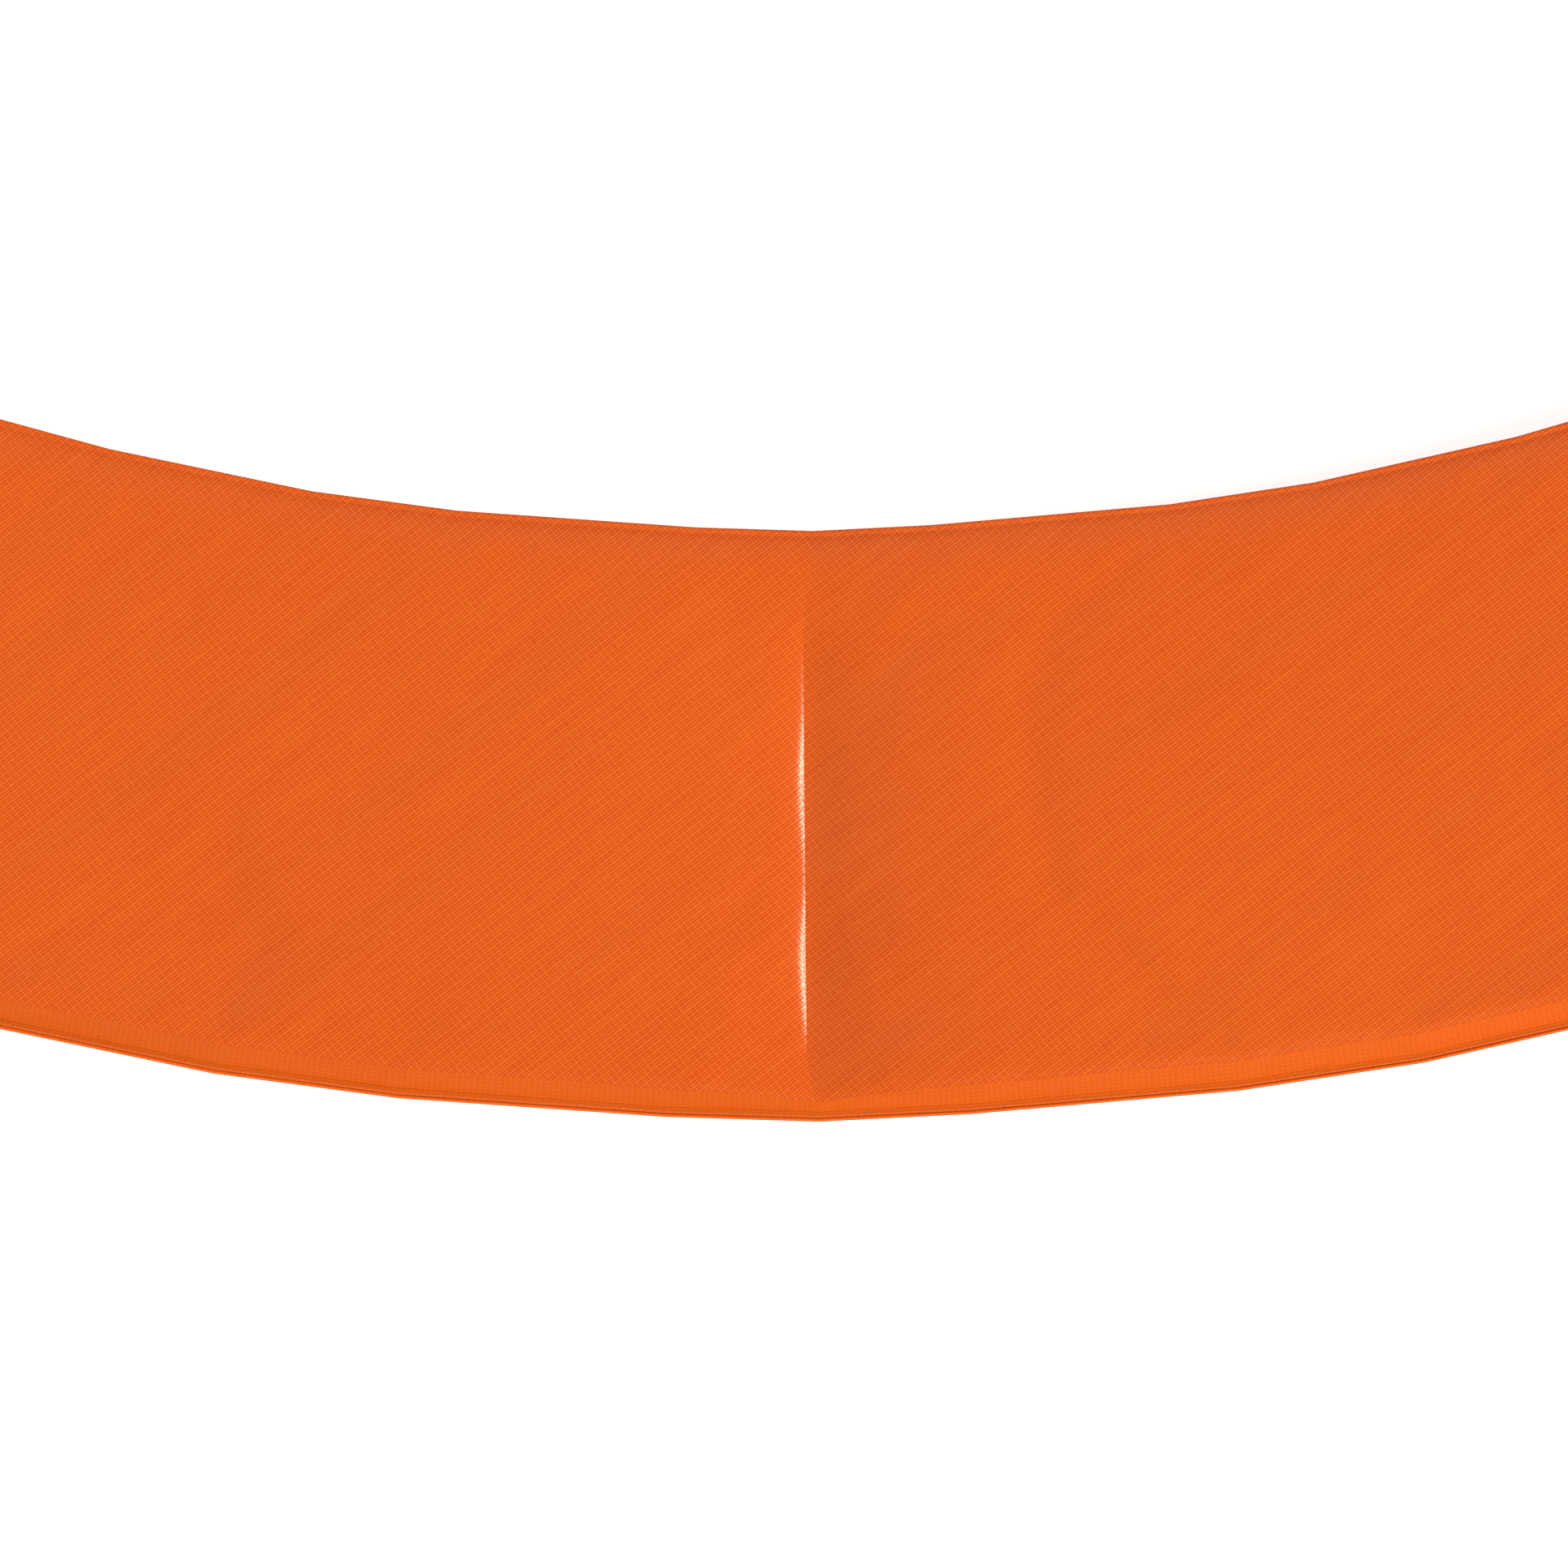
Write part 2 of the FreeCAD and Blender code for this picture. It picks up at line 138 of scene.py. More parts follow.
def valley(t, offset):
    """Depth of the pinched seam under the pad's top.

    On the clockwise side a tight pucker meets the crease in a broad hollow. On the other
    side the sheet rises slowly. The seam is pulled deepest where it meets the rim."""
    inner = ease(offset, 15, 85)
    outer = ease(offset, 185, 262)
    broad = 1.4 + 4.2 * inner + 2.2 * outer
    pucker = 3.0 * ease(offset, 30, 74) * (1 - ease(offset, 222, 258))
    pucker *= 1 + 0.3 * math.cos(2 * math.pi * (offset - 116) / 81)
    bottom = crease(offset)
    if t < bottom:
        hollow = broad * math.exp((t - bottom) / (38 - 4 * inner + 14 * outer))
        near = 0.6 * math.exp((t - bottom) / 3.8)
        far = 0.4 * math.exp((t - bottom) / 12.0)
        return hollow + pucker * (near + far)
    spread = 21 + 4 * inner + 10 * outer
    return (broad + pucker) * math.exp(-((t - bottom) / spread) ** 1.4)


WEAVE_ANGLE = math.radians(37)
WEAVE_LINES = np.array(((math.cos(WEAVE_ANGLE), math.sin(WEAVE_ANGLE)),
                        (-math.sin(WEAVE_ANGLE), math.cos(WEAVE_ANGLE))))
TAPE_PITCH = np.array((2.77, 2.95))


def slow_waves(xy):
    """Slow waves of the sheet, a fraction of a millimetre high and drawn out along the weave."""
    p, q = (xy @ WEAVE_LINES.T).T
    wave = 0.11 * np.sin(q / 6.1 + 0.9 * np.sin(p / 95))
    wave += 0.10 * np.sin(q / 9.7 + p / 170 + 1.7 + 0.7 * np.sin(p / 61 + q / 130))
    wave += 0.09 * np.sin(q / 17 - p / 83 + 0.4)
    return wave


def corner(index, offset):
    """Mitred corner of the edge at an offset."""
    lean = OUTWARD[index - 1] + OUTWARD[index]
    return CORNERS[index] + offset * lean / (1 + OUTWARD[index - 1] @ OUTWARD[index])


def seam_point(end, t, offset):
    """Point at distance t from the section's first (0) or last (1) seam, mirrored beyond it."""
    facet, pivot = (0, 1) if end == 0 else (FACETS - 1, FACETS - 1)
    tangent = TANGENTS[end]
    inside = abs(t) if end == 0 else -abs(t)
    start = CORNERS[pivot] + offset * OUTWARD[facet]
    point = start + ALONG[facet] * (inside - start @ tangent) / (ALONG[facet] @ tangent)
    if inside != t:
        point = point - 2 * (point @ tangent) * tangent
    return point


def place(column, offset):
    """Point of a column of the mesh at an offset from the inner edge."""
    kind, value, share = column
    if kind == "first":
        return seam_point(0, value, offset)
    if kind == "last":
        return seam_point(1, value, offset)
    if kind == "from crease":
        return seam_point(0, crease(offset) * (1 - share) + value * share, offset)
    if kind == "to crease":
        return seam_point(1, crease(offset) * (1 - share) + value * share, offset)
    return corner(value, offset) * (1 - share) + corner(value + 1, offset) * share


def middle_columns(cell):
    """Columns between the section's first and last corner, in cells of about one length."""
    columns = []
    for facet in range(1, FACETS - 1):
        parts = max(1, round(LENGTHS[facet] / cell))
        columns += [("facet", facet, part / parts) for part in range(parts)]
    return columns + [("facet", FACETS - 2, 1.0)]


def cover_columns(first_folds, last_folds, cell=6.0):
    """Columns of a cover: from crease to crease, or as far as the bend at a fold seam."""
    start = [("first", BEND_END, 0)]
    if not first_folds:
        start = [("from crease", 0.0, share) for share in (0, 0.35, 0.7)]
        start += [("first", t, 0) for t in (0.0, 1.0, BEND_END)]
    start += [("first", t, 0) for t in (3, 4.2, 5.6, 7.2, 9, 11, 13.4, 16.2, 19.5, 23.5, 28, 33.5, 39.5, 46)]
    end = [("last", -t, 0) for t in (46, 40, 34.5, 29.5, 25, 21.2, 18, 15.4, 13.3, 11.6, 10.2, 9, 7.9, 7.1)]
    end += [("last", BEND_START, 0)]
    if not last_folds:
        end += [("to crease", BEND_START, share) for share in (0.6, 0.3, 0)]
    return start + middle_columns(cell) + end


def bend_columns():
    """Columns of the part of a fold seam that bends."""
    columns = [("from crease", BEND_START, share) for share in (1, 0.75, 0.5, 0.25)]
    columns += [("from crease", 0.0, share) for share in (0, 0.2, 0.4, 0.6, 0.8)]
    return columns + [("first", t, 0) for t in (0, 0.5, 1.0, 1.5, BEND_END)]


def plain_columns(first, last, cell=14.0):
    """Columns of a piece that ends at set distances from its section's seams."""
    start = [("first", t, 0) for t in (first, first + 7, 20, 32, 44)]
    end = [("last", -t, 0) for t in (44, 32, 20, last + 7, last)]
    return start + middle_columns(cell) + end


# ---------------------------------------------------------------- cross-sections

# Each row of a cross-section is (way, offset, height). The ways are: "set", a plain offset
# and height; "wall", a share of the inner wall's height; "top", a drop below the top's
# surface; "rim", an offset from the rim's upper edge and a drop; "slope", a share of the
# way down the outer wall.
EDGE_DROP = 4.6
RIM_DROP = 1.5
COVER_ROWS = (
    # the flap that is turned under the foam, with its folded edge
    [("set", FLAP - 0.7, 2.6), ("set", FLAP, 1.5), ("set", FLAP - 0.7, 0.5)]
    + [("set", offset, 0.3) for offset in (16, 12, 8, 4.5)]
    + [("set", 2.2, 0.4), ("set", 0.8, 1.0), ("set", 0.15, 2.2), ("wall", 0, 0)]
    + [("wall", 0, share) for share in (0.3, 0.6, 0.85)]
    # the inner edge: a small piped ridge, a groove and the foam's rounding
    + [("top", 0, EDGE_DROP), ("top", 0.12, 3.9), ("top", 0.5, 3.3), ("top", 1.1, 3.0), ("top", 1.7, 3.15)]
    + [("top", 2.2, 3.5), ("top", 2.7, 3.45), ("top", 3.5, 2.95), ("top", 4.8, 2.25), ("top", 6.5, 1.55)]
    + [("top", 8.5, 0.95), ("top", 11, 0.45), ("top", 14, 0.15), ("top", 18, 0.0)]
    + [("top", offset, 0.0) for offset in np.arange(24, 242, 6.0)]
    # the rim's upper edge with its seam line, the outer wall and its welted foot
    + [("rim", -8, 0.0), ("rim", -5, 0.08), ("rim", -3.2, 0.28), ("rim", -2, 0.6), ("rim", -1.2, 0.95)]
    + [("rim", -0.8, 1.25), ("rim", -0.4, 1.2), ("rim", 0.1, RIM_DROP)]
    + [("slope", 0, share) for share in (0.12, 0.3, 0.5, 0.7, 0.86, 0.96)]
    + [("set", FOOT - 0.45, 4.5), ("set", FOOT - 0.1, 4.75), ("set", FOOT + 0.25, 4.5)]
    + [("set", FOOT + 0.4, 4.0), ("set", FOOT + 0.1, 3.6)]
)
FIRST_TOP_ROW = next(i for i, row in enumerate(COVER_ROWS) if row[0] == "top")
FIRST_SLOPE_ROW = next(i for i, row in enumerate(COVER_ROWS) if row[0] == "slope") - 1
WALL_ROWS = range(FIRST_SLOPE_ROW, len(COVER_ROWS))

FOAM_ROWS = (
    [("set", offset, SHEET_TOP + 0.1) for offset in (FOOT - 3, 200, 100, 3)]
    + [("set", 1.8, SHEET_TOP + 0.9), ("top", 1.8, EDGE_DROP + 2), ("top", 5, 4.0), ("top", 10, 2.0)]
    + [("top", offset, 1.3) for offset in (16, 50, 90, 130, 170, 210, 240)]
    + [("rim", -6, 1.6), ("rim", -2.5, 2.9), ("slope", -1.6, 0.5)]
)

BEAD = WIDTH - 0.8
BEAD_HEIGHT = HEM_TOP - 1.0
GROOVE = HEM_TOP - 1.35
STRIP_TOP = HEM_TOP - 0.55
HEM_ROWS = (
    # underside, folded inner edge and the strip under the outer wall
    [("set", WIDTH - distance, 0.15) for distance in (2.2, 8, 14, 20)]
    + [("set", WIDTH - 23.2, 0.3), ("set", WIDTH - 23.9, 1.1), ("set", WIDTH - 23.9, 2.4)]
    + [("set", WIDTH - 23.2, 3.2), ("set", WIDTH - 20, STRIP_TOP), ("set", WIDTH - 6, STRIP_TOP)]
    # the flange, between two stitched grooves
    + [("set", WIDTH - 4.1, STRIP_TOP - 0.1), ("set", WIDTH - 3.55, GROOVE + 0.4)]
    + [("set", WIDTH - 3.1, STRIP_TOP - 0.1)]
    + [("set", WIDTH - 2.6, STRIP_TOP + 0.05), ("set", WIDTH - 2.05, STRIP_TOP - 0.1)]
    + [("set", WIDTH - 1.7, GROOVE - 0.3)]
    # the corded bead, from its groove round to the underside
    + [("set", BEAD + 0.8 * math.cos(math.radians(angle)), BEAD_HEIGHT + 0.8 * math.sin(math.radians(angle)))
       for angle in range(160, -61, -20)]
    + [("set", WIDTH - 0.75, 1.8), ("set", WIDTH - 0.7, 1.1), ("set", WIDTH - 1.2, 0.4)]
)
# Rows of the bead and flange that take the second, lighter cloth, whose extra lightness is a painted
# highlight.
CORD_HIGHLIGHT_ROWS = [i for i, row in enumerate(HEM_ROWS) if row[1] > FOOT - 2 and row[2] > BEAD_HEIGHT - 0.7]

BASE_ROWS = [("set", offset, HEM_TOP + 0.35) for offset in (FOOT - 2.4, *np.arange(255, 5, -10.0), 2.0)]


def surface_height(xy, offset):
    """Height of the pad's top in section 1, before any small edge shape."""
    bulge = 0.6 * math.sin(math.pi * min(max(offset / (FOOT - RUN), 0), 1))
    first = valley(xy @ TANGENTS[0], offset)
    last = valley(xy @ TANGENTS[1], offset)
    return TOP + bulge * max(0.0, 1 - (first + last) / 6) - first - last


def section_grid(rows, columns):
    """Points of a section 1 piece, and how much each one follows the sheet's waves."""
    grid = np.zeros((len(rows), len(columns), 3))
    loose = np.zeros((len(rows), len(columns)))
    for c, column in enumerate(columns):
        rim_height = surface_height(place(column, FOOT - RUN / 2), FOOT - RUN / 2)
        rim = FOOT - RUN * (rim_height - HEM_TOP) / RISE
        for r, (way, offset, height) in enumerate(rows):
            if way == "wall":
                edge = surface_height(place(column, 0), 0) - EDGE_DROP
                height = HEM_TOP + height * (edge - HEM_TOP)
            elif way == "slope":
                top = rim_height - RIM_DROP
                offset, height = rim + (FOOT - rim) * height + offset, top + (HEM_TOP + 0.55 - top) * height
            elif way != "set":
                if way == "rim":
                    offset = rim + offset
                height = surface_height(place(column, offset), offset) - height
                loose[r, c] = ease(offset, 4, 16) * (1 - ease(offset, rim - 8, rim + 2))
            grid[r, c, :2] = place(column, offset)
            grid[r, c, 2] = height
    return grid, loose


# ---------------------------------------------------------------- meshes

def turned(points, angle):
    cos, sin = math.cos(angle), math.sin(angle)
    out = np.array(points, float)
    out[..., 0], out[..., 1] = (points[..., 0] * cos - points[..., 1] * sin,
                                points[..., 0] * sin + points[..., 1] * cos)
    return out


def new_object(name, points, faces, materials, uv=None, slots=None, smooth=True):
    """Mesh object from points in millimetres, faces, and optional weave coordinates."""
    mesh = bpy.data.meshes.new(name)
    mesh.from_pydata((np.asarray(points) * MM).tolist(), [], [tuple(face) for face in faces])
    for material in materials:
        mesh.materials.append(material)
    if slots is not None:
        mesh.polygons.foreach_set("material_index", np.asarray(slots, np.int32))
    if uv is not None:
        layer = mesh.uv_layers.new(name="weave")
        layer.data.foreach_set("uv", np.asarray(uv, np.float32).ravel())
    mesh.polygons.foreach_set("use_smooth", [smooth] * len(mesh.polygons))
    mesh.update()
    item = bpy.data.objects.new(name, mesh)
    bpy.context.scene.collection.objects.link(item)
    return item


def flat_weave(points):
    """Weave coordinates, in tapes, of cloth that lies flat."""
    return (points[..., :2] @ WEAVE_LINES.T) / TAPE_PITCH


def wrapped_weave(points):
    """Weave coordinates, in tapes, of cloth that is cut along the edge and wrapped round it."""
    outer = points[-1]
    along = np.concatenate(([0], np.cumsum(np.linalg.norm(np.diff(outer, axis=0), axis=1))))
    steps = np.linalg.norm(np.diff(points, axis=0), axis=2).mean(axis=1)
    across = np.concatenate(([0], np.cumsum(steps)))
    return np.stack(np.broadcast_arrays(along[None, :], across[:, None]), axis=-1) / TAPE_PITCH


def sheet_mesh(name, points, materials, flat_rows=None, closed=False, caps=False, second_rows=()):
    """Object from a grid of points. Rows in flat_rows take the flat weave, the others wrap.

    The rows in second_rows take the second material."""
    rows, columns = points.shape[:2]
    flat, wrapped = flat_weave(points), wrapped_weave(points)
    faces, uv, slots = [], [], []
    for r in range(rows if closed else rows - 1):
        slots += [int(r in second_rows)] * (columns - 1)
        weave = flat if flat_rows and flat_rows[0] <= r < flat_rows[1] else wrapped
        for c in range(columns - 1):
            cells = ((r, c), ((r + 1) % rows, c), ((r + 1) % rows, c + 1), (r, c + 1))
            faces.append([row * columns + column for row, column in cells])
            uv += [weave[row, column] for row, column in cells]
    if caps:
        for c, order in ((0, range(rows - 1, -1, -1)), (columns - 1, range(rows))):
            faces.append([row * columns + c for row in reversed(order)])
            uv += [wrapped[row, c] for row in reversed(order)]
            slots.append(0)
    item = new_object(name, points.reshape(-1, 3), faces, materials, uv, slots)
    crisp = []
    for edge in item.data.edges:
        (r0, c0), (r1, c1) = (divmod(vertex, columns) for vertex in edge.vertices)
        crisp.append((c0 == c1 and c0 in (0, columns - 1))
                     or (not closed and r0 == r1 and r0 in (0, rows - 1)))
    item.data.edges.foreach_set("use_edge_sharp", crisp)
    return item


def thicken(item, thickness):
    """Real thickness, inwards, for a sheet of cloth."""
    modifier = item.modifiers.new("cloth thickness", "SOLIDIFY")
    modifier.thickness = thickness * MM
    modifier.offset = -1
    return item


def thread(points, radius, sides=6):
    """One stitch: a short round thread whose ends dip into the cloth, along a list of points."""
    points = np.asarray(points, float)
    steps = np.gradient(points, axis=0)
    steps /= np.linalg.norm(steps, axis=1)[:, None]
    up = np.array((0, 0, 1.0))
    vertices = []
    for index, (point, step) in enumerate(zip(points, steps)):
        side = np.cross(step, up)
        side /= np.linalg.norm(side)
        lift = np.cross(side, step)
        size = radius * (0.35 if index in (0, len(points) - 1) else 1.0)
        for k in range(sides):
            angle = 2 * math.pi * k / sides
            vertices.append(point + size * (math.cos(angle) * side + math.sin(angle) * lift))
    faces = []
    for ring in range(len(points) - 1):
        for k in range(sides):
            low, high = ring * sides + k, ring * sides + (k + 1) % sides
            faces.append((low, high, high + sides, low + sides))
    last = (len(points) - 1) * sides
    faces.append(tuple(range(sides))[::-1])
    faces.append(tuple(range(last, last + sides)))
    return np.array(vertices), faces


def stitch_line(path, level, facing, pitch=7.0, share=0.62, radius=0.32):
    """Vertices and faces of a row of stitches along a flat path, proud of a level surface."""
    path = np.asarray(path, float)
    lengths = np.concatenate(([0], np.cumsum(np.linalg.norm(np.diff(path, axis=0), axis=1))))
    count = max(1, int(lengths[-1] // pitch))
    spacing = lengths[-1] / count
    vertices, faces = [], []
    for k in range(count):
        start = (k + (1 - share) / 2) * spacing
        along = start + spacing * share * np.array((0, 0.15, 0.5, 0.85, 1))
        x = np.interp(along, lengths, path[:, 0])
        y = np.interp(along, lengths, path[:, 1])
        z = level + facing * radius * np.array((-0.6, 0.35, 0.6, 0.35, -0.6))
        more, quads = thread(np.column_stack((x, y, z)), radius)
        faces += [tuple(index + len(vertices) for index in quad) for quad in quads]
        vertices += more.tolist()
    return vertices, faces


def joined(parts):
    """One list of vertices and one of faces from several."""
    vertices, faces = [], []
    for more, quads in parts:
        faces += [tuple(index + len(vertices) for index in quad) for quad in quads]
        vertices += list(more)
    return np.array(vertices), faces


# ---------------------------------------------------------------- materials

class Shader:
    """A material's node tree, built with short calls."""

    def __init__(self, name):
        self.material = bpy.data.materials.new(name)
        self.material.use_nodes = True
        self.tree = self.material.node_tree
        self.surface = self.tree.nodes["Principled BSDF"]

    def link(self, value, socket):
        if isinstance(value, bpy.types.NodeSocket):
            self.tree.links.new(value, socket)
        else:
            socket.default_value = value

    def math(self, operation, first, second=0.0):
        node = self.tree.nodes.new("ShaderNodeMath")
        node.operation = operation
        self.link(first, node.inputs[0])
        self.link(second, node.inputs[1])
        return node.outputs[0]

    def total(self, *terms):
        """Sum of (socket, factor) pairs and plain numbers."""
        result = 0.0
        for term in terms:
            value = self.math("MULTIPLY", *term) if isinstance(term, tuple) else term
            result = self.math("ADD", value, result)
        return result

    def weave(self):
        """The two weave coordinates, in tapes."""
        node = self.tree.nodes.new("ShaderNodeUVMap")
        node.uv_map = "weave"
        parts = self.tree.nodes.new("ShaderNodeSeparateXYZ")
        self.tree.links.new(node.outputs["UV"], parts.inputs[0])
        return node.outputs["UV"], parts.outputs["X"], parts.outputs["Y"]

    def place(self):
        return self.tree.nodes.new("ShaderNodeTexCoord").outputs["Object"]

    def noise(self, vector, scale, detail=2.0, stretch=None):
        if stretch:
            mapping = self.tree.nodes.new("ShaderNodeMapping")
            self.tree.links.new(vector, mapping.inputs["Vector"])
            mapping.inputs["Scale"].default_value = stretch
            vector = mapping.outputs[0]
        node = self.tree.nodes.new("ShaderNodeTexNoise")
        self.tree.links.new(vector, node.inputs["Vector"])
        node.inputs["Scale"].default_value = scale
        node.inputs["Detail"].default_value = detail
        return self.math("SUBTRACT", node.outputs["Fac"], 0.5)

    def edge(self, coordinate, power, shift=0.0):
        """1 on the lines between tapes, falling to 0 within them."""
        moved = self.math("FRACT", self.math("ADD", coordinate, 100.0 + shift))
        across = self.math("ABSOLUTE", self.total((moved, 2.0), -1.0))
        return self.math("POWER", across, power)

    def blend(self, share, low, high):
        node = self.tree.nodes.new("ShaderNodeMix")
        node.data_type = "RGBA"
        node.clamp_factor = True
        self.link(share, node.inputs[0])
        node.inputs[6].default_value = (*low, 1)
        node.inputs[7].default_value = (*high, 1)
        return node.outputs[2]

    def bump(self, height, distance, strength=1.0):
        node = self.tree.nodes.new("ShaderNodeBump")
        node.inputs["Distance"].default_value = distance * MM
        node.inputs["Strength"].default_value = strength
        self.tree.links.new(height, node.inputs["Height"])
        self.tree.links.new(node.outputs[0], self.surface.inputs["Normal"])

    def finish(self, **sockets):
        names = {"colour": "Base Color", "roughness": "Roughness", "metal": "Metallic",
                 "level": "Specular IOR Level", "sheen": "Sheen Weight"}
        for key, value in sockets.items():
            self.link(value, self.surface.inputs[names[key]])
        return self.material


def woven(name, dark, light, depth, contrast, roughness, level):
    """Plain weave of flat plastic tapes, with thin bright lines between the tapes."""
    s = Shader(name)
    uv, u, v = s.weave()
    line_v = s.edge(v, 7.0)
    line_u = s.edge(u, 9.0)
    shade_v = s.edge(v, 4.0, 0.25)
    shade_u = s.edge(u, 4.0, 0.25)
    half_v = s.math("SINE", s.math("MULTIPLY", v, 4 * math.pi))
    half_u = s.math("SINE", s.math("MULTIPLY", u, 4 * math.pi))
    fibre = s.noise(uv, 1.3, 3.0)
    streak = s.noise(uv, 0.8, 2.0, (0.06, 1.0, 1.0))
    cloud = s.noise(s.place(), 5.0, 3.0)
    dashes = s.math("MULTIPLY", shade_v, s.noise(uv, 0.9, 2.0, (0.6, 0.3, 1.0)))
    bright = s.math("MULTIPLY", line_v, s.total((s.noise(uv, 0.7, 2.0, (0.3, 1.0, 1.0)), 3.0), 1.0))
    tone = s.total((bright, 0.38 * contrast), (line_u, 0.62 * contrast), (shade_v, -0.20 * contrast),
                   (half_v, 0.32 * contrast), (half_u, 0.16 * contrast), (shade_u, -0.18 * contrast),
                   (dashes, -0.35 * contrast),
                   (fibre, 0.5 * contrast), (streak, 0.4 * contrast), (cloud, 0.22), 0.46)
    height = s.total((half_v, 0.12), (half_u, 0.12), (line_v, -0.3), (line_u, -0.3),
                     (fibre, 0.3))
    s.bump(height, depth)
    rough = s.total((fibre, 0.12), roughness)
    return s.finish(colour=s.blend(tone, dark, light), roughness=rough, level=level)


def webbing(name, dark, light):
    """Ribbed elastic webbing."""
    s = Shader(name)
    uv, u, v = s.weave()
    ribs = s.math("SINE", s.math("MULTIPLY", u, 2 * math.pi))
    rows = s.math("SINE", s.math("MULTIPLY", v, 4 * math.pi))
    fibre = s.noise(uv, 3.0, 3.0)
    tone = s.total((ribs, 0.2), (rows, 0.16), (fibre, 0.5), 0.5)
    s.bump(s.total((ribs, 0.5), (rows, 0.3), (fibre, 0.3)), 0.25)
    return s.finish(colour=s.blend(tone, dark, light), roughness=0.75, level=0.3, sheen=0.2)


def plain(name, dark, light, scale, depth, roughness, metal=0.0, stretch=None):
    """One stuff with a fine grain: foam, thread, metal or the floor."""
    s = Shader(name)
    grain = s.noise(s.place(), scale, 4.0, stretch)
    s.bump(grain, depth)
    rough = s.total((grain, 0.25), roughness)
    return s.finish(colour=s.blend(s.total((grain, 1.0), 0.5), dark, light), roughness=rough, metal=metal)


cover_cloth = woven("cover weave", (0.45, 0.044, 0.0008), (0.59, 0.108, 0.0075), 0.10, 1.0, 0.25, 0.38)
hem_cloth = woven("hem weave", (0.45, 0.046, 0.0010), (0.59, 0.104, 0.0070), 0.08, 0.8, 0.27, 0.35)
wall_cloth = woven("wall weave", (0.47, 0.055, 0.0012), (0.61, 0.110, 0.0070), 0.05, 0.7, 0.6, 0.06)
# Corded bead and flange: the pad's real orange cloth, painted lighter here as a painted highlight where the
# round bead catches light.
highlit_cord_cloth = woven("corded edge with painted highlight", (0.52, 0.085, 0.008), (0.68, 0.140, 0.020), 0.05, 0.8, 0.5, 0.1)
base_cloth = woven("base weave", (0.012, 0.012, 0.013), (0.035, 0.036, 0.038), 0.2, 1.0, 0.45, 0.4)
foam = plain("foam", (0.55, 0.52, 0.40), (0.75, 0.72, 0.60), 900, 0.5, 0.9)
strap_cloth = webbing("strap webbing", (0.010, 0.010, 0.011), (0.045, 0.046, 0.05))
orange_thread = plain("orange thread", (0.50, 0.07, 0.004), (0.72, 0.15, 0.015), 2500, 0.1, 0.5)
pale_thread = plain("pale thread", (0.55, 0.53, 0.48), (0.75, 0.73, 0.68), 2500, 0.1, 0.6)
steel = plain("zinc-plated steel", (0.48, 0.49, 0.50), (0.66, 0.67, 0.69), 400, 0.04, 0.3, 1.0, (1, 1, 4))


# ---------------------------------------------------------------- the padded sections

def half_of(section):
    return "front_half" if section in FRONT_SECTIONS else "back_half"


def relaxed(grid, loose):
    """Cloth simulation of section 1's sheet over its foam: how far each point settles.

    The walls, the edges and the seams are held. A slight pressure lifts the sheet between
    them, and each movement is limited smoothly to SETTLE_CAP."""
    item = sheet_mesh("relaxing", grid, [])
    pins = item.vertex_groups.new(name="held")
    t_first = grid[..., :2] @ TANGENTS[0]
    t_last = -(grid[..., :2] @ TANGENTS[1])
    hold = 1 - loose * np.clip((np.minimum(t_first, t_last) - 12) / 25, 0, 1)
    for index, weight in enumerate(hold.ravel()):
        pins.add([index], float(weight), "REPLACE")
    cloth = item.modifiers.new("relax", "CLOTH")
    settings = cloth.settings
    settings.quality = 6
    settings.mass = 0.15
    settings.vertex_group_mass = "held"
    settings.pin_stiffness = 1.0
    settings.tension_stiffness = 30
    settings.compression_stiffness = 30
    settings.bending_stiffness = 2.0
    settings.shrink_min = -0.004
    settings.shrink_max = -0.004
    settings.use_pressure = True
    settings.uniform_pressure_force = 0.1
    settings.effector_weights.gravity = 0
    cloth.collision_settings.use_collision = False
    cloth.point_cache.frame_end = 20
    scene = bpy.context.scene
    for number in range(1, 21):
        scene.frame_set(number)
    settled = item.evaluated_get(bpy.context.evaluated_depsgraph_get()).to_mesh()
    points = np.zeros(len(settled.vertices) * 3)
    settled.vertices.foreach_get("co", points)
    moved = points.reshape(grid.shape) / MM - grid
    scene.frame_set(1)
    bpy.data.objects.remove(item)
    moved *= (1 - hold)[..., None]
    print("cloth moved by up to", np.abs(moved).max().round(3), "mm, mean", np.abs(moved).mean().round(4))
    return SETTLE_CAP * np.tanh(moved / SETTLE_CAP)


SETTLE_CAP = 0.8
plain_ends = cover_columns(False, False)
plain_grid, plain_loose = section_grid(COVER_ROWS, plain_ends)
settled = relaxed(plain_grid, plain_loose)


def settle_for(columns):
    """The settled movement for a cover whose ends stop at a fold's bend."""
    kept = [plain_ends.index(column) for column in columns]
    return settled[:, kept]


def waved(grid, loose, section):
    """Section piece turned into place, with the sheet's slow waves."""
    points = turned(grid, STEP * (section - 1))
    waves = slow_waves(points[..., :2].reshape(-1, 2)).reshape(loose.shape)
    points[..., 2] += loose * waves
    return points


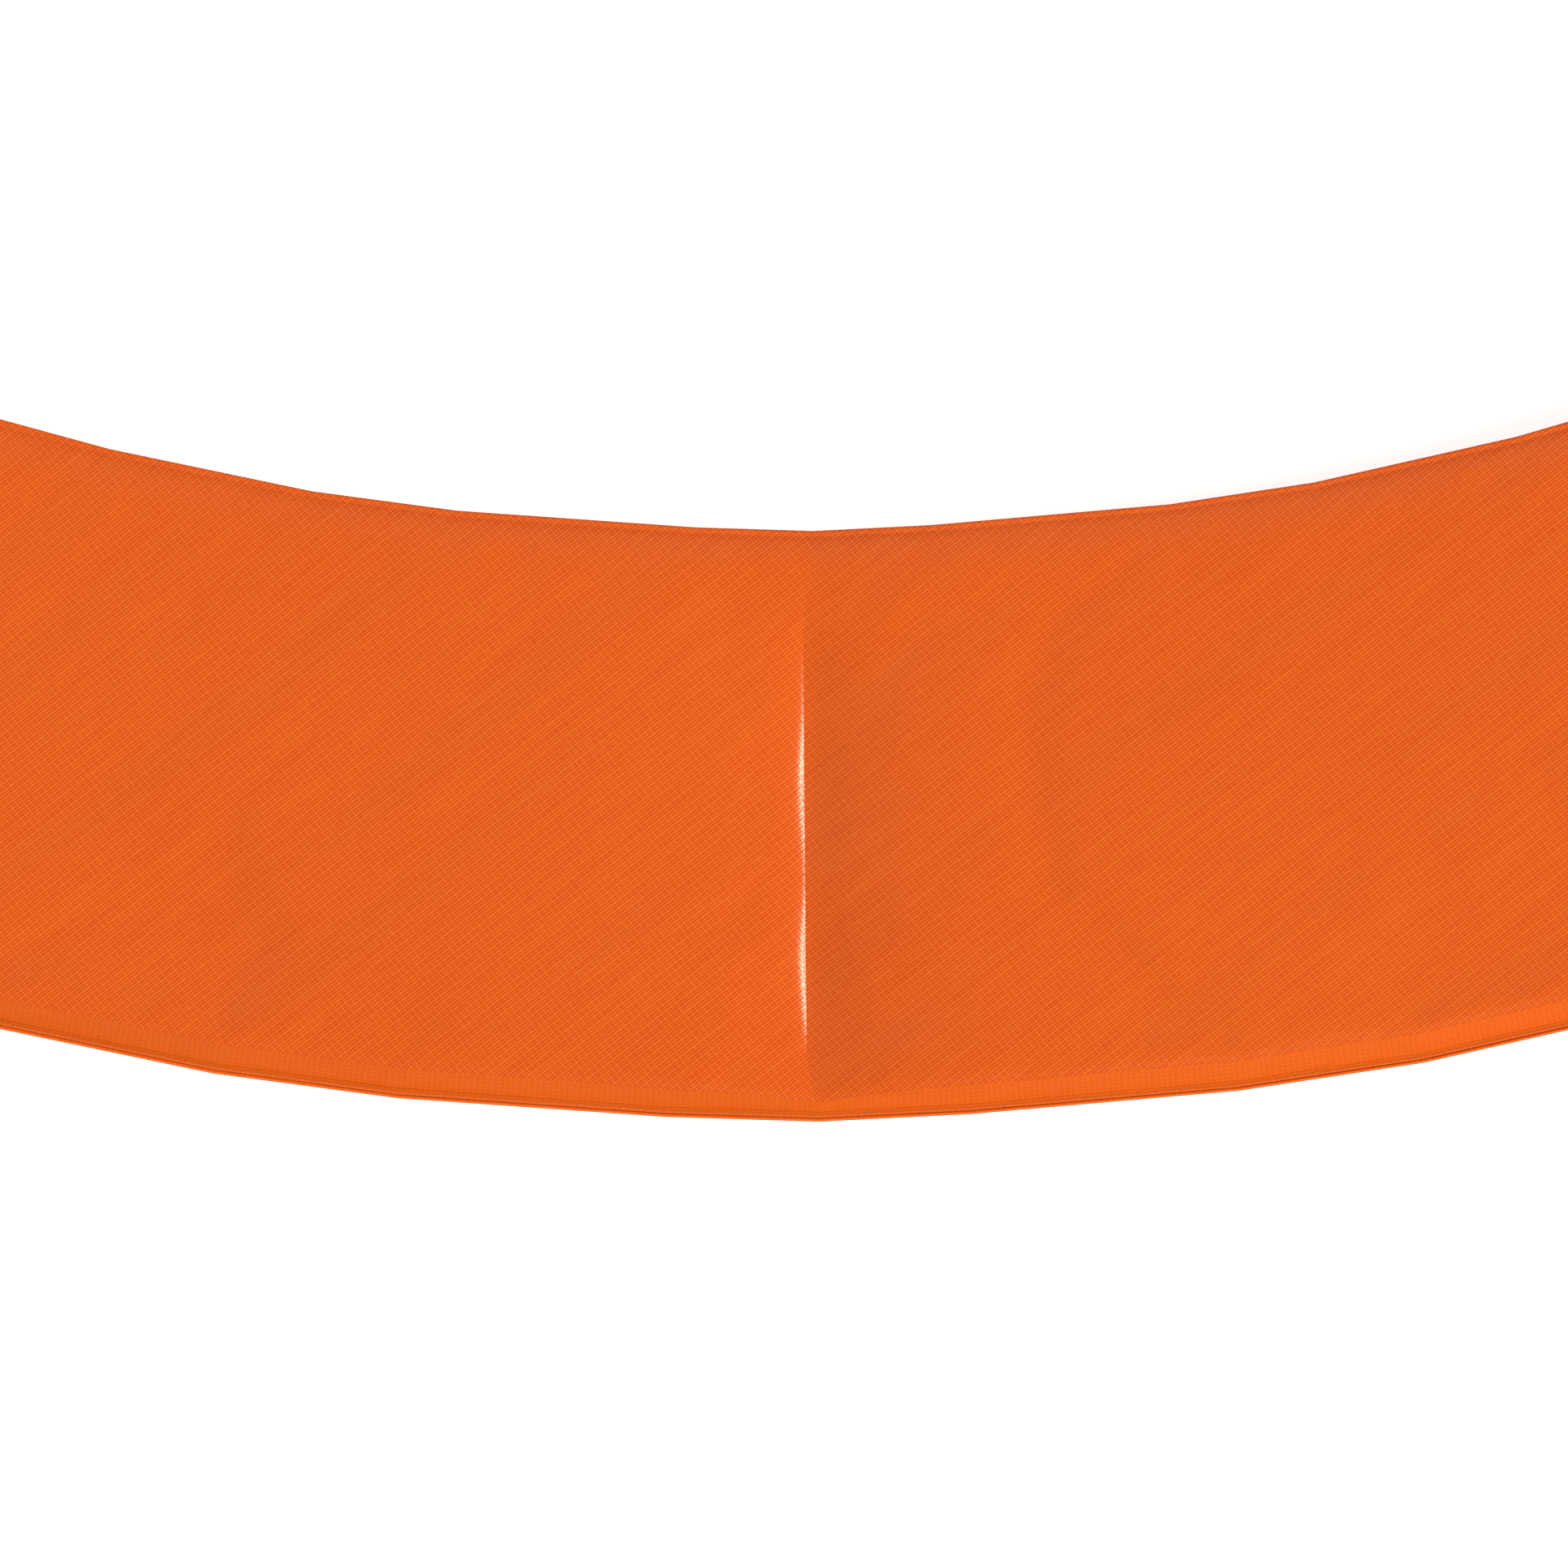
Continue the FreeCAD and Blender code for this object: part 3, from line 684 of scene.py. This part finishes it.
def make_section(section):
    body = half_of(section)
    folds = (section in FOLD_SEAMS, section % SECTIONS + 1 in FOLD_SEAMS)
    columns = cover_columns(*folds)
    grid, loose = section_grid(COVER_ROWS, columns)
    points = waved(grid + settle_for(columns), loose, section)
    flat_rows = (FIRST_TOP_ROW, FIRST_SLOPE_ROW)
    cover = sheet_mesh(f"cover_{section}", points, [cover_cloth, wall_cloth], flat_rows,
                       second_rows=WALL_ROWS)
    thicken(cover, 0.5)
    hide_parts(f"top_cover_{section}")

    first, last = (BEND_END + 1, 0 - BEND_START + 1)
    grid, loose = section_grid(FOAM_ROWS, plain_columns(first, last, 20.0))
    filling = sheet_mesh(f"foam_{section}", waved(grid, loose, section), [foam], closed=True, caps=True)
    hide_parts(f"foam_insert_{section}")

    first, last = (BEND_END if folds[0] else 0.0, -BEND_START if folds[1] else 0.0)
    grid, loose = section_grid(HEM_ROWS, plain_columns(first, last, 20.0))
    hem = sheet_mesh(f"hem_{section}", turned(grid, STEP * (section - 1)), [hem_cloth, highlit_cord_cloth],
                     closed=True, caps=True, second_rows=CORD_HIGHLIGHT_ROWS)
    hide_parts(f"outer_hem_{section}")

    grid, loose = section_grid(BASE_ROWS, plain_columns(6.0, 7.0, 20.0))
    points = turned(grid, STEP * (section - 1))
    points[..., 2] += 0.6 * slow_waves(points[..., :2].reshape(-1, 2)).reshape(points.shape[:2])
    base = sheet_mesh(f"base_{section}", points, [base_cloth])
    thicken(base, 0.35)
    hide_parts(f"bottom_cover_{section}")

    stitches = []
    for offset, level, facing in ((FLAP - 3, 0.3, -1), (WIDTH - 20, 0.15, -1), (WIDTH - 2.65, STRIP_TOP, 1)):
        path = [place(column, offset) for column in plain_columns(first, last, 20.0)]
        size = (7.0, 0.62, 0.32) if facing < 0 else (4.0, 0.6, 0.13)
        stitches.append(stitch_line(path, level, facing, *size))
    vertices, faces = joined(stitches)
    seams = new_object(f"stitching_{section}", turned(vertices, STEP * (section - 1)), faces, [orange_thread])
    for piece in (cover, filling, hem, base, seams):
        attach(piece, body)


for section in range(1, SECTIONS + 1):
    make_section(section)


# ---------------------------------------------------------------- the seams between sections

WEB_HALF = 7.5


def seam_strip(seam):
    """Narrow strip of cover cloth, sewn under the valley, and seen between the base sheets."""
    offsets = [*np.arange(WIDTH - 25, 22, -8.0), 21.0]
    turns = (-WEB_HALF, BEND_START, -5.2, -3.9, -2.6, -1.3, 0, 1, BEND_END, 4.5, WEB_HALF)
    grid = np.array([[(*seam_point(0, t, offset), HEM_TOP - 0.15 + 0.25 * math.cos(t / 2.2)) for t in turns]
                     for offset in offsets])
    strip = sheet_mesh(f"seam_strip_{seam}", turned(grid, STEP * (seam - 1)), [hem_cloth])
    return thicken(strip, 0.5)


def bent_pieces(seam):
    """The parts of the cover and of the hem that bend at a fold seam."""
    grid, loose = section_grid(COVER_ROWS, bend_columns())
    points = waved(grid, loose, seam)
    cover = sheet_mesh(f"fold_cover_{seam}", points, [cover_cloth, wall_cloth],
                       (FIRST_TOP_ROW, FIRST_SLOPE_ROW), second_rows=WALL_ROWS)
    thicken(cover, 0.5)
    grid, loose = section_grid(HEM_ROWS, bend_columns())
    hem = sheet_mesh(f"fold_hem_{seam}", turned(grid, STEP * (seam - 1)), [hem_cloth, highlit_cord_cloth],
                     closed=True, caps=True, second_rows=CORD_HIGHLIGHT_ROWS)
    return [cover, hem]


for seam in range(1, SECTIONS + 1):
    strip = seam_strip(seam)
    if seam in FOLD_SEAMS:
        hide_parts("fold_web_front", "fold_web_back")
        for piece in (strip, *bent_pieces(seam)):
            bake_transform(piece)
    else:
        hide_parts(f"seam_web_{seam}")
        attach(strip, half_of(seam))


# ---------------------------------------------------------------- straps, patches and hooks

def joint_place(name):
    """A joint's distance from the ring's centre, and its height."""
    place_of_joint = next(joint["pos_m"] for joint in frame["joints"] if joint["name"] == name)
    return math.hypot(place_of_joint[0], place_of_joint[1]) / MM, place_of_joint[2] / MM


ROOT, STRAP_LEVEL = joint_place("strap_swing_1")
BAR, _ = joint_place("hook_swing_1")
STRAP_WIDTH = 25.0
STRAP_HALF = 0.6
LOOP_OUTER = 1.62
LOOP_INNER = 1.12
RIB_PITCH = 2.1


def to_ring(points, section):
    """Turns (outward, sideways, height) points into place at a section's middle."""
    points = np.asarray(points, float)
    angle = seam_angle(section) + STEP / 2
    out, side = direction(angle), direction(angle + math.pi / 2)
    flat = points[..., :1] * out + points[..., 1:2] * side
    return np.concatenate((flat, points[..., 2:]), axis=-1)


def ribbon(outline, width=STRAP_WIDTH, columns=37):
    """Closed band of webbing: an (outward, height) outline, extruded sideways with ribs."""
    outline = np.asarray(outline, float)
    ahead = np.roll(outline, -1, axis=0) - np.roll(outline, 1, axis=0)
    normals = np.column_stack((ahead[:, 1], -ahead[:, 0]))
    normals /= np.linalg.norm(normals, axis=1)[:, None]
    area = np.sum(outline[:, 0] * np.roll(outline[:, 1], -1) - np.roll(outline[:, 0], -1) * outline[:, 1])
    normals *= math.copysign(1, area)
    along = np.concatenate(([0], np.cumsum(np.linalg.norm(np.diff(outline, axis=0), axis=1))))
    vertices, faces, uv = [], [], []
    count = len(outline)
    for c in range(columns):
        side = (c / (columns - 1) - 0.5) * width
        edge = ease(abs(side), width / 2 - 1.0, width / 2)
        inset = 0.07 * (1 - math.cos(2 * math.pi * side / RIB_PITCH)) + 0.18 * edge
        for point, normal in zip(outline, normals):
            spot = point - normal * inset
            vertices.append((spot[0], side, spot[1]))
    for c in range(columns - 1):
        for k in range(count):
            after = (k + 1) % count
            faces.append((c * count + k, c * count + after, (c + 1) * count + after, (c + 1) * count + k))
            sides = [((c + step) / (columns - 1) - 0.5) * width / RIB_PITCH for step in (0, 0, 1, 1)]
            lengths = [along[k], along[k] + 1.2, along[k] + 1.2, along[k]]
            if after:
                lengths = [along[k], along[after], along[after], along[k]]
            uv += [(a, b / 2.0) for a, b in zip(sides, lengths)]
    for c, order in ((0, range(count - 1, -1, -1)), (columns - 1, range(count))):
        faces.append(tuple(c * count + k for k in order))
        uv += [(0, 0)] * count
    if area > 0:
        faces = [face[::-1] for face in faces]
        uv = reversed_corners(uv, faces)
    return np.array(vertices), faces, uv


def reversed_corners(uv, faces):
    """Weave coordinates for faces whose corner order was reversed."""
    out, start = [], 0
    for face in faces:
        out += uv[start:start + len(face)][::-1]
        start += len(face)
    return out


def box_stitch(start, end, level, facing):
    """Square of stitches with a cross inside it, across a strap from start to end."""
    half = STRAP_WIDTH / 2 - 2.6
    corners = [(start, -half), (start, half), (end, half), (end, -half)]
    lines = list(zip(corners, corners[1:] + corners[:1]))
    lines += [(corners[0], corners[2]), (corners[1], corners[3])]
    return joined([stitch_line(line, level, facing, 2.6, 0.72, 0.22) for line in lines])


def rounded(low, high, start, end, steps=4):
    """Outline of a flat strap end to end, with half-round ends."""
    middle, radius = (low + high) / 2, (high - low) / 2
    arc = np.linspace(math.pi / 2, 3 * math.pi / 2, 2 * steps + 1)
    left = [(start + radius + radius * math.cos(a), middle + radius * math.sin(a)) for a in arc]
    right = [(end - radius - radius * math.cos(a), middle - radius * math.sin(a)) for a in arc]
    lower = [(start + (end - start) * k / 12, low) for k in range(1, 12)]
    upper = [(end - (end - start) * k / 12, high) for k in range(1, 12)]
    return left + lower + right + upper


def strap_outline():
    """Side of a strap: flat from its root to the loop that goes round the hook's bar."""
    opening = math.asin(STRAP_HALF / LOOP_OUTER)
    outer = np.linspace(opening, 2 * math.pi - opening, 28)
    loop = [(BAR + LOOP_OUTER * math.cos(a), STRAP_LEVEL + LOOP_OUTER * math.sin(a)) for a in outer]
    join = loop[0][0]
    count = 22
    upper = [(ROOT + (join - ROOT) * k / count, STRAP_LEVEL + STRAP_HALF) for k in range(count)]
    lower = [(x, 2 * STRAP_LEVEL - z) for x, z in reversed(upper)]
    arc = np.linspace(-math.pi / 2, math.pi / 2, 7)[1:-1]
    root = [(ROOT + STRAP_HALF * math.cos(a), STRAP_LEVEL + STRAP_HALF * math.sin(a)) for a in arc]
    return upper + loop + lower + root


def make_strap(section):
    body = f"strap_{section}"
    vertices, faces, uv = ribbon(strap_outline())
    strap = new_object(f"strap_{section}_webbing", to_ring(vertices, section), faces, [strap_cloth], uv)
    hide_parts(f"elastic_strap_{section}")
    level = STRAP_HALF - 0.1
    sewn = joined([box_stitch(BAR + 6, BAR + 24, STRAP_LEVEL + facing * level, facing) for facing in (1, -1)])
    thread_piece = new_object(f"strap_{section}_stitching", to_ring(sewn[0], section), sewn[1], [pale_thread])
    for piece in (strap, thread_piece):
        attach(piece, body)

    node = "strap_patches_front" if section in FRONT_SECTIONS else "strap_patches_back"
    low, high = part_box(node)[0].z / MM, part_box(node)[1].z / MM
    start, end = PATCH_SPAN
    vertices, faces, uv = ribbon(rounded(low, high, start, end))
    patch = new_object(f"strap_{section}_patch", to_ring(vertices, section), faces, [strap_cloth], uv)
    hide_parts(node)
    sewn = box_stitch(start + 3, end - 3, low + 0.08, -1)
    patch_thread = new_object(f"strap_{section}_patch_stitching", to_ring(sewn[0], section), sewn[1],
                              [pale_thread])
    for piece in (patch, patch_thread):
        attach(piece, half_of(section))

    hook = frame["nodes"][f"strap_hook_{section}"]
    hook.data.materials.clear()
    hook.data.materials.append(steel)
    bevel = hook.modifiers.new("rolled edges", "BEVEL")
    bevel.width = 0.3 * MM
    bevel.segments = 2
    bevel.limit_method = "ANGLE"
    bevel.angle_limit = math.radians(40)


def patch_span():
    """Where section 1's strap patch starts and ends, along the section's middle."""
    points = node_points("strap_patches_front")[:, :2]
    side = direction(seam_angle(1) + STEP / 2 + math.pi / 2)
    near = points[(np.abs(points @ side) < STRAP_WIDTH) & (points @ MIDDLE > 0)]
    return (near @ MIDDLE).min(), (near @ MIDDLE).max()


PATCH_SPAN = patch_span()
for section in range(1, SECTIONS + 1):
    make_strap(section)


# ---------------------------------------------------------------- floor, light and camera

FLOOR_REACH = 90.0
FLOOR_DROP = 0.0004


def make_floor():
    floor_paint = Shader("studio floor")
    grain = floor_paint.noise(floor_paint.place(), 40, 4.0)
    colour = floor_paint.blend(floor_paint.total((grain, 0.2), 0.5), (0.78, 0.78, 0.78), (0.82, 0.82, 0.82))
    floor_paint.surface.inputs["Emission Color"].default_value = (1, 1, 1, 1)
    floor_paint.surface.inputs["Emission Strength"].default_value = 0.5
    material = floor_paint.finish(colour=colour, roughness=0.9, level=0.1)
    corners = [(x * FLOOR_REACH / MM, y * FLOOR_REACH / MM, -FLOOR_DROP / MM)
               for x, y in ((-1, -1), (1, -1), (1, 1), (-1, 1))]
    floor = new_object("floor", np.array(corners), [(0, 1, 2, 3)], [material], smooth=False)
    floor.visible_glossy = False


def make_sun(name, azimuth, elevation, strength, spread, glossy, colour=(1, 1, 1)):
    """Sunlight from an azimuth (0 is the front, 90 the right) and an elevation."""
    data = bpy.data.lights.new(name, "SUN")
    data.energy = strength
    data.color = colour
    data.angle = math.radians(spread)
    lamp = bpy.data.objects.new(name, data)
    lamp.visible_glossy = glossy
    lamp.rotation_euler = (math.radians(90 - elevation), 0, math.radians(azimuth))
    bpy.context.scene.collection.objects.link(lamp)


make_floor()
make_sun("front key", 15, 47, 2.7, 30, False)
make_sun("back fill", 215, 47, 1.5, 60, False)
make_sun("right strip", 90, 22, 2.4, 13, True, (1, 0.92, 0.72))

world = bpy.data.worlds.new("studio")
world.use_nodes = True
world.node_tree.nodes["Background"].inputs["Color"].default_value = (1, 1, 1, 1)
world.node_tree.nodes["Background"].inputs["Strength"].default_value = 0.3
bpy.context.scene.world = world
bpy.context.scene.view_settings.view_transform = "Standard"

# The camera looks straight down at the front seam from far above, as in a product view.
VIEW_WIDTH = 713.0
VIEW_OFFSET = 114.9
VIEW_SIDE = -14.4
VIEW_TURN = -0.5
camera_data = bpy.data.cameras.new("camera")
camera_data.lens = 1000
camera_data.sensor_width = 36
camera = bpy.data.objects.new("camera", camera_data)
height = TOP + VIEW_WIDTH * camera_data.lens / camera_data.sensor_width
aim = seam_point(0, 0.0, VIEW_OFFSET)
camera.location = ((aim[0] + VIEW_SIDE) * MM, aim[1] * MM, height * MM)
camera.rotation_euler = (0, 0, math.radians(VIEW_TURN))
camera_data.clip_end = 100
bpy.context.scene.collection.objects.link(camera)
bpy.context.scene.camera = camera
